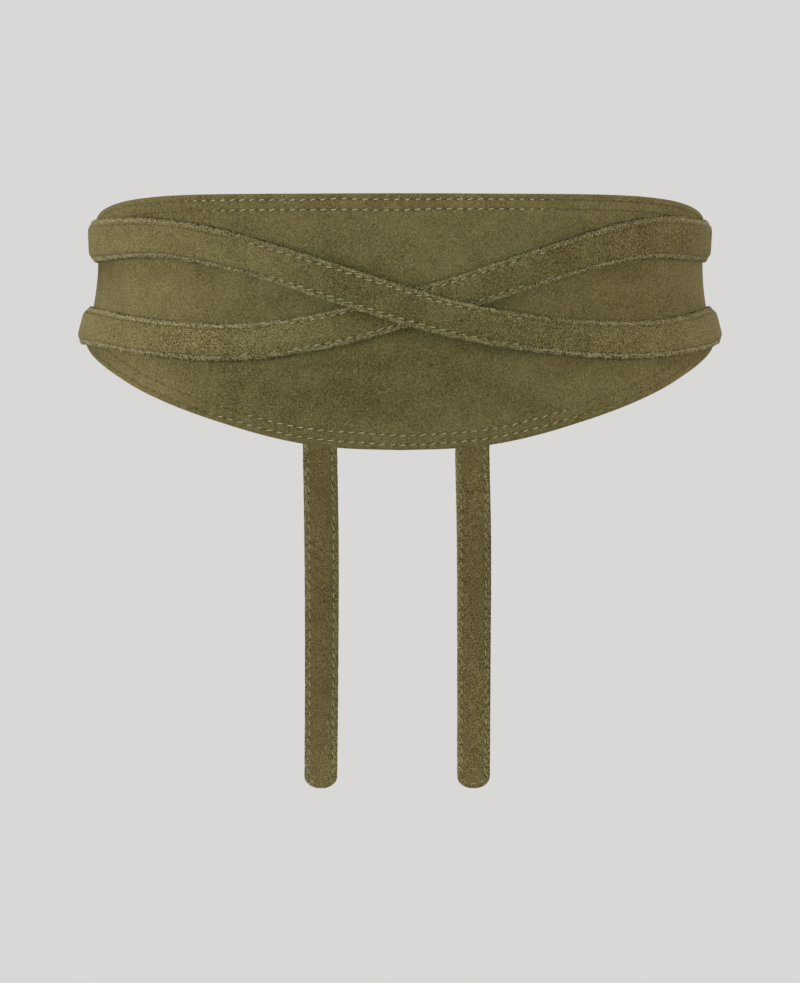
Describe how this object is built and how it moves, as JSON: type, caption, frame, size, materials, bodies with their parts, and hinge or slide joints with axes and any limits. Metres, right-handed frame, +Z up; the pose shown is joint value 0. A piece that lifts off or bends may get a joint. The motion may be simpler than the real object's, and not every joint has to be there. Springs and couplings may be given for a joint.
{
  "type": "suede wrap belt",
  "caption": "Tall suede front panel that hugs the waist, with long flat ties that cross in front, wrap round and are knotted behind.",
  "frame": {"origin": "centre of the waist opening, at the height where the waist is narrowest", "axes": "+Z up along the wearer, -Y out of the front panel, +X to the wearer's left"},
  "size_m": [0.2672, 0.205, 0.2478],
  "materials": {
    "panel_suede": "olive suede, matt and napped",
    "tie_suede": "olive suede, matt and napped, edges stitched",
    "thread": "pale khaki sewing thread"
  },
  "bodies": {
    "root": {"front_panel": "panel_suede", "tie_right": "tie_suede", "tie_left": "tie_suede"}
  },
  "joints": []
}
